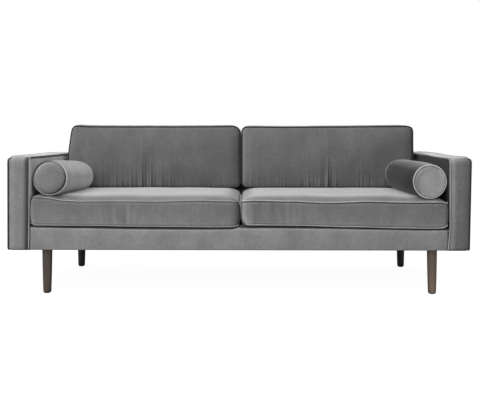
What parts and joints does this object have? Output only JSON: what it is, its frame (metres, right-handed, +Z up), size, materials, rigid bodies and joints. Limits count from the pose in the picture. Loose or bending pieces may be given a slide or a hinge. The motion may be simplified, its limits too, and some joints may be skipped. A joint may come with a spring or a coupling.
{
  "type": "tuxedo sofa",
  "caption": "Long upholstered sofa with arms and back of one height, boxed seat and back cushions with piping, round bolsters and round tapered wooden legs.",
  "frame": {"origin": "on the floor, under the middle of the sofa's length and depth", "axes": "+X along the length, to the right as seen from the front; +Y to the rear; +Z up. The sofa faces -Y."},
  "size_m": [2.2, 0.87, 0.823],
  "materials": {
    "velvet": "grey short-pile velvet over wadding, foam and feather filling",
    "timber": "planed softwood",
    "hardboard": "smooth hardboard",
    "stained_wood": "dark walnut stain, satin lacquer",
    "elastic_webbing": "woven elastic webbing",
    "black_cloth": "non-woven cloth",
    "zinc_steel": "zinc plated",
    "nylon": "moulded nylon"
  },
  "bodies": {
    "sofa_frame": {"back_board": "hardboard", "back_centre_post": "timber", "back_cover": "velvet", "back_left_post": "timber", "back_right_post": "timber", "back_top_rail": "timber", "centre_rail": "timber", "dust_cover": "black_cloth", "front_rail": "timber", "front_rail_cover": "velvet", "left_arm_board": "hardboard", "left_arm_bottom_rail": "timber", "left_arm_cover": "velvet", "left_arm_front_bolt": "zinc_steel", "left_arm_front_post": "timber", "left_arm_rear_bolt": "zinc_steel", "left_arm_rear_post": "timber", "left_arm_top_rail": "timber", "left_front_corner_block": "timber", "left_front_glide": "nylon", "left_front_leg": "stained_wood", "left_front_leg_bolt": "zinc_steel", "left_front_tee_nut": "zinc_steel", "left_rear_corner_block": "timber", "left_rear_glide": "nylon", "left_rear_leg": "stained_wood", "left_rear_leg_bolt": "zinc_steel", "left_rear_tee_nut": "zinc_steel", "left_seat_webbing": "elastic_webbing", "left_side_rail": "timber", "rear_rail": "timber", "right_arm_board": "hardboard", "right_arm_bottom_rail": "timber", "right_arm_cover": "velvet", "right_arm_front_bolt": "zinc_steel", "right_arm_front_post": "timber", "right_arm_rear_bolt": "zinc_steel", "right_arm_rear_post": "timber", "right_arm_top_rail": "timber", "right_front_corner_block": "timber", "right_front_glide": "nylon", "right_front_leg": "stained_wood", "right_front_leg_bolt": "zinc_steel", "right_front_tee_nut": "zinc_steel", "right_rear_corner_block": "timber", "right_rear_glide": "nylon", "right_rear_leg": "stained_wood", "right_rear_leg_bolt": "zinc_steel", "right_rear_tee_nut": "zinc_steel", "right_seat_webbing": "elastic_webbing", "right_side_rail": "timber", "seat_deck": "black_cloth", "webbing_rail": "timber"},
    "left_seat_cushion": {"left_seat_cushion": "velvet"},
    "left_back_cushion": {"left_back_cushion": "velvet"},
    "left_bolster": {"left_bolster": "velvet"},
    "right_seat_cushion": {"right_seat_cushion": "velvet"},
    "right_back_cushion": {"right_back_cushion": "velvet"},
    "right_bolster": {"right_bolster": "velvet"}
  },
  "joints": [
    {"name": "left_seat_cushion_slide", "type": "slide", "parent": "sofa_frame", "child": "left_seat_cushion", "axis": [0, -1, 0], "range_m": [0, 0.75]},
    {"name": "left_back_cushion_lift", "type": "slide", "parent": "sofa_frame", "child": "left_back_cushion", "axis": [0, 0.1392, 0.9903], "range_m": [0, 0.42]},
    {"name": "left_bolster_lift", "type": "slide", "parent": "sofa_frame", "child": "left_bolster", "axis": [0, 0, 1], "range_m": [0, 0.38]},
    {"name": "right_seat_cushion_slide", "type": "slide", "parent": "sofa_frame", "child": "right_seat_cushion", "axis": [0, -1, 0], "range_m": [0, 0.75]},
    {"name": "right_back_cushion_lift", "type": "slide", "parent": "sofa_frame", "child": "right_back_cushion", "axis": [0, 0.1392, 0.9903], "range_m": [0, 0.42]},
    {"name": "right_bolster_lift", "type": "slide", "parent": "sofa_frame", "child": "right_bolster", "axis": [0, 0, 1], "range_m": [0, 0.38]}
  ]
}
